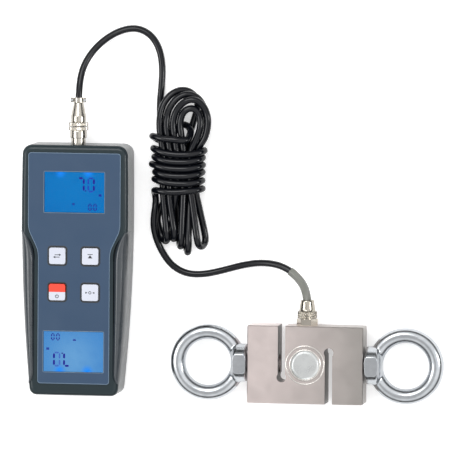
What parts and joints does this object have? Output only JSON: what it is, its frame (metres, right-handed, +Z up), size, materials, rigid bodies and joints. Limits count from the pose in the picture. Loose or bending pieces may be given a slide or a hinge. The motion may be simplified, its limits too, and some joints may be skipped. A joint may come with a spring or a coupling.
{
  "type": "force gauge",
  "caption": "Handheld force gauge: a meter with front and inverted displays, a cable in a hank, and an S-type load cell with an eye bolt at each end.",
  "frame": {"origin": "bottom centre of the meter and the load cell together, on the surface they lie on, without the cable's pieces", "axes": "+Z up out of the meter's face, +Y along the meter towards its socket, +X from the meter to the load cell"},
  "size_m": [0.277, 0.2432, 0.0318],
  "materials": {
    "case_plastic": "fine moulded texture",
    "grip_rubber": "smooth soft-touch",
    "label_film": "printed film, satin",
    "window_acrylic": "clear",
    "display_glass": "backlit liquid crystal",
    "backlight_plastic": "diffusing",
    "key_white": "smooth",
    "key_red": "smooth, upper half red",
    "keypad_rubber": "matte",
    "board_laminate": "solder mask",
    "chip_epoxy": "moulded epoxy",
    "battery_jacket": "printed jacket",
    "contact_nickel": "plated",
    "screw_steel": "plated",
    "connector_nickel": "nickel plate",
    "insulator_plastic": "moulded",
    "pin_brass": "gold flash",
    "cell_nickel": "satin nickel plate",
    "cover_nickel": "fine turned",
    "gauge_foil": "polyimide foil",
    "gland_nickel": "nickel plate",
    "seal_rubber": "matte",
    "eye_zinc": "zinc plate over a forging",
    "sleeve_plastic": "semi-gloss shrink sleeve",
    "cable_jacket": "smooth PVC"
  },
  "bodies": {
    "root": {"front_shell": "case_plastic", "rear_shell": "case_plastic", "left_grip": "grip_rubber", "right_grip": "grip_rubber", "label_panel": "label_film", "upper_window": "window_acrylic", "lower_window": "window_acrylic", "upper_display": "display_glass", "lower_display": "display_glass", "upper_backlight": "backlight_plastic", "lower_backlight": "backlight_plastic", "keypad_mat": "keypad_rubber", "main_board": "board_laminate", "board_chips": "chip_epoxy", "buzzer": "chip_epoxy", "batteries": "battery_jacket", "battery_contacts": "contact_nickel", "case_screws": "screw_steel", "panel_socket": "connector_nickel", "socket_nut": "connector_nickel", "socket_insulator": "insulator_plastic", "socket_pins": "pin_brass", "plug_insulator": "insulator_plastic", "backshell": "connector_nickel", "cord_clamp": "connector_nickel", "clamp_screws": "screw_steel", "cell_body": "cell_nickel", "gauge_cover_front": "cover_nickel", "gauge_cover_rear": "cover_nickel", "strain_gauges": "gauge_foil", "terminal_board": "board_laminate", "gland_body": "gland_nickel", "gland_seal": "seal_rubber", "cable_sleeve": "sleeve_plastic", "cable_lead_upper": "cable_jacket", "cable_lead_lower": "cable_jacket", "cable_hank": "cable_jacket"},
    "battery_door": {"battery_door": "case_plastic"},
    "coupling_ring": {"coupling_ring": "connector_nickel"},
    "gland_nut": {"gland_nut": "gland_nickel"},
    "eye_bolt_left": {"eye_bolt_left": "eye_zinc"},
    "eye_bolt_right": {"eye_bolt_right": "eye_zinc"},
    "key_upper_left": {"key_upper_left": "key_white"},
    "key_upper_right": {"key_upper_right": "key_white"},
    "key_lower_left": {"key_lower_left": "key_red"},
    "key_lower_right": {"key_lower_right": "key_white"}
  },
  "joints": [
    {"name": "key_upper_left_press", "type": "slide", "parent": "root", "child": "key_upper_left", "axis": [0, 0, -1], "range_m": [0, 0.0008], "stiffness_N_per_m": 900},
    {"name": "key_upper_right_press", "type": "slide", "parent": "root", "child": "key_upper_right", "axis": [0, 0, -1], "range_m": [0, 0.0008], "stiffness_N_per_m": 900},
    {"name": "key_lower_left_press", "type": "slide", "parent": "root", "child": "key_lower_left", "axis": [0, 0, -1], "range_m": [0, 0.0008], "stiffness_N_per_m": 900},
    {"name": "key_lower_right_press", "type": "slide", "parent": "root", "child": "key_lower_right", "axis": [0, 0, -1], "range_m": [0, 0.0008], "stiffness_N_per_m": 900},
    {"name": "battery_door_slide", "type": "slide", "parent": "root", "child": "battery_door", "axis": [0, -1, 0], "range_m": [0, 0.07]},
    {"name": "coupling_ring_turn", "type": "hinge", "parent": "root", "child": "coupling_ring", "pos_m": [-0.10307, 0.0857, 0.016], "axis": [0, 1, 0], "continuous": true},
    {"name": "gland_nut_turn", "type": "hinge", "parent": "root", "child": "gland_nut", "pos_m": [0.04843, -0.0263, 0.0125], "axis": [0, 1, 0], "continuous": true},
    {"name": "eye_bolt_left_turn", "type": "hinge", "parent": "root", "child": "eye_bolt_left", "pos_m": [-0.01667, -0.0618, 0.0125], "axis": [-1, 0, 0], "continuous": true},
    {"name": "eye_bolt_right_turn", "type": "hinge", "parent": "root", "child": "eye_bolt_right", "pos_m": [0.11353, -0.0618, 0.0125], "axis": [1, 0, 0], "continuous": true}
  ]
}
